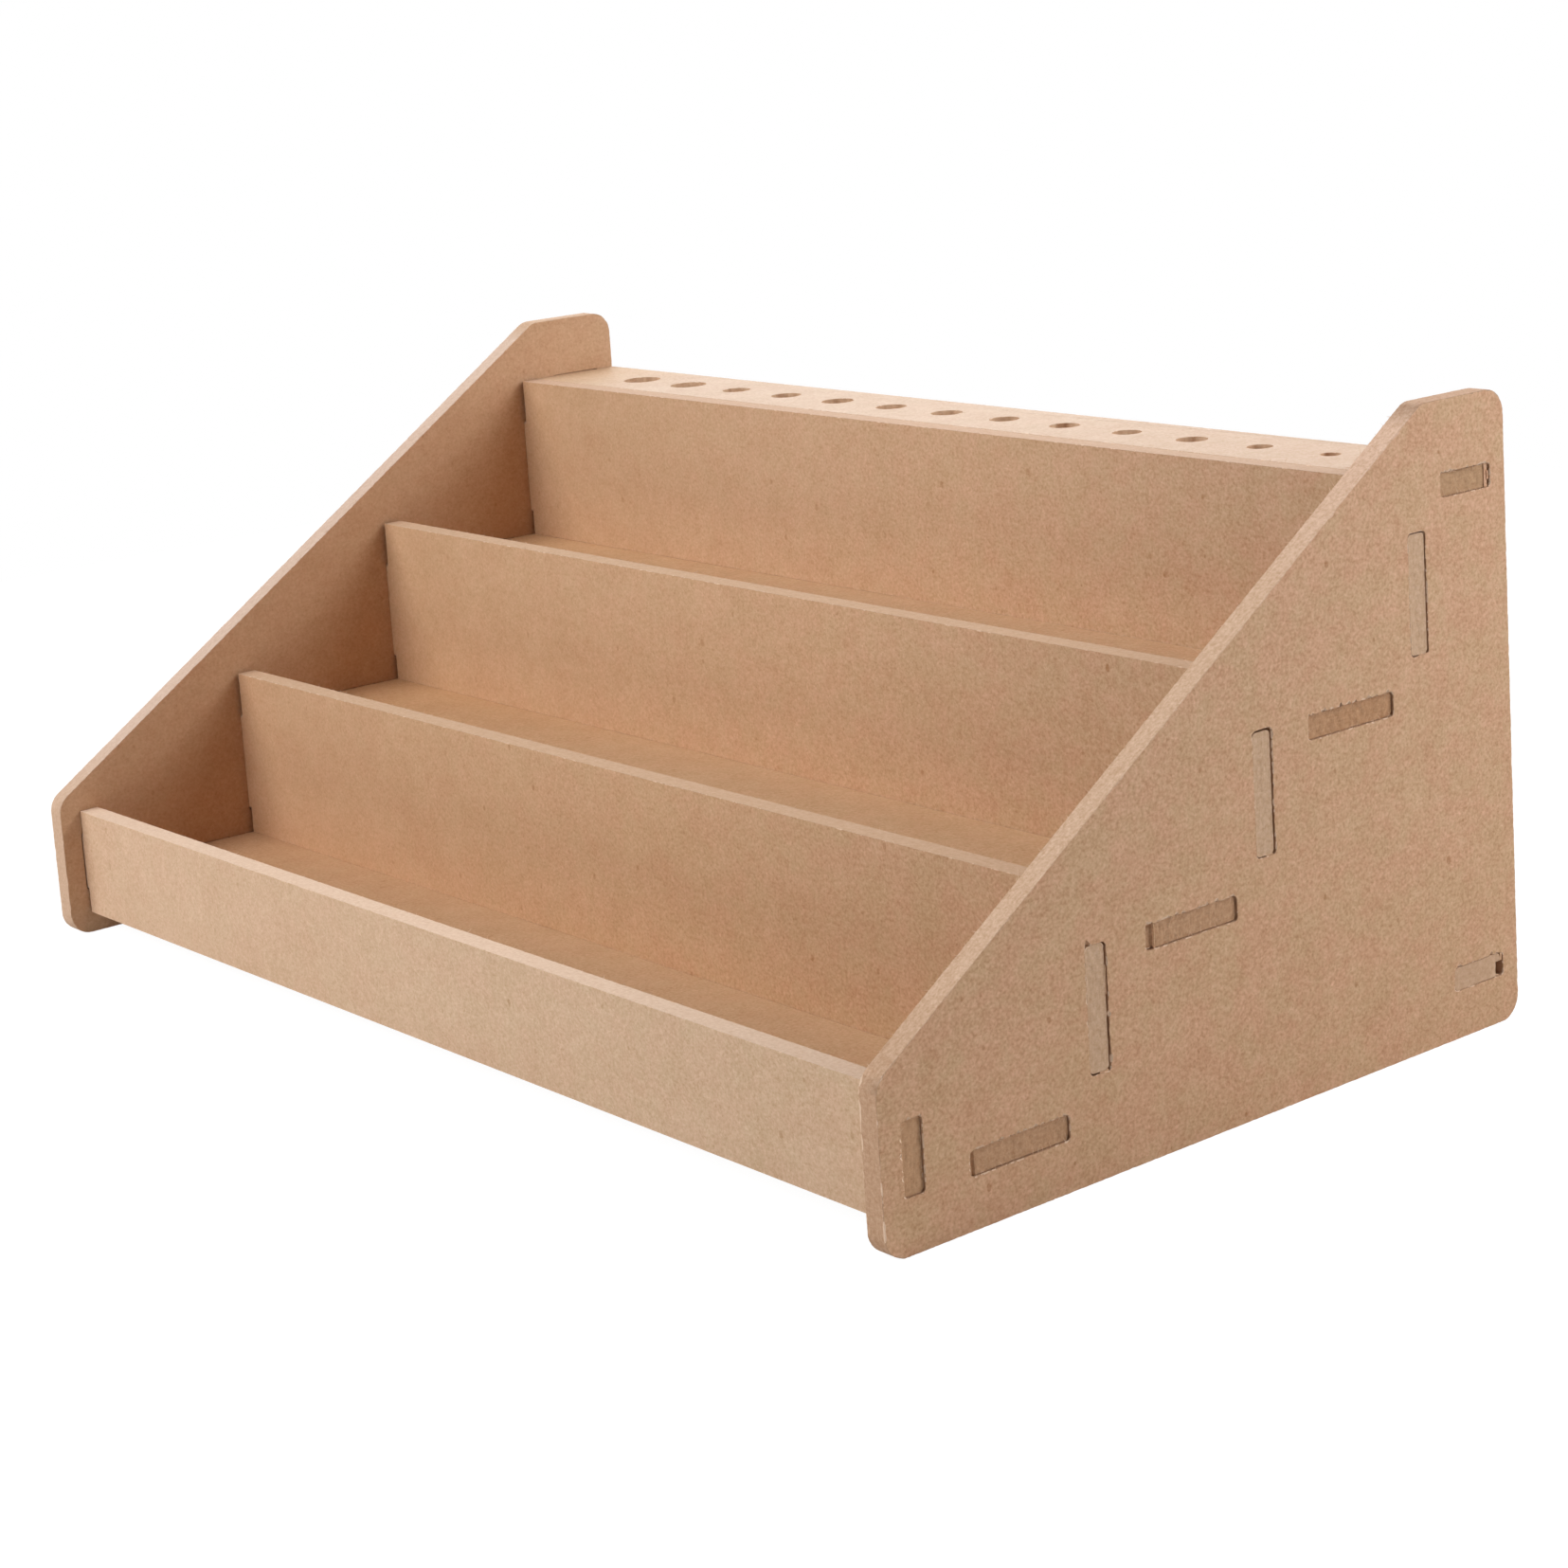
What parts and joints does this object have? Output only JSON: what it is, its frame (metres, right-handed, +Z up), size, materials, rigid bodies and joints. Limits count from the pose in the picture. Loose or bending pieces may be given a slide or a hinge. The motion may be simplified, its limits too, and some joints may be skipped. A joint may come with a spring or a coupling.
{
  "type": "paint stand",
  "caption": "Stepped tabletop stand for paint pots: open trays between sloping side panels, slotted together, with a rear rail of graded brush holes.",
  "frame": {"origin": "on the table, under the middle of the stand's width and depth", "axes": "+X to the right along the trays, +Y from the front lip to the brush rail, +Z up"},
  "size_m": [0.355, 0.2, 0.1519],
  "materials": {
    "fibreboard": "raw matte"
  },
  "bodies": {
    "root": {"side_panel_left": "fibreboard", "side_panel_right": "fibreboard", "front_lip": "fibreboard", "shelf_lower": "fibreboard", "shelf_middle": "fibreboard", "shelf_upper": "fibreboard", "riser_lower": "fibreboard", "riser_middle": "fibreboard", "riser_upper": "fibreboard", "brush_rail": "fibreboard", "brush_rest": "fibreboard"}
  },
  "joints": []
}
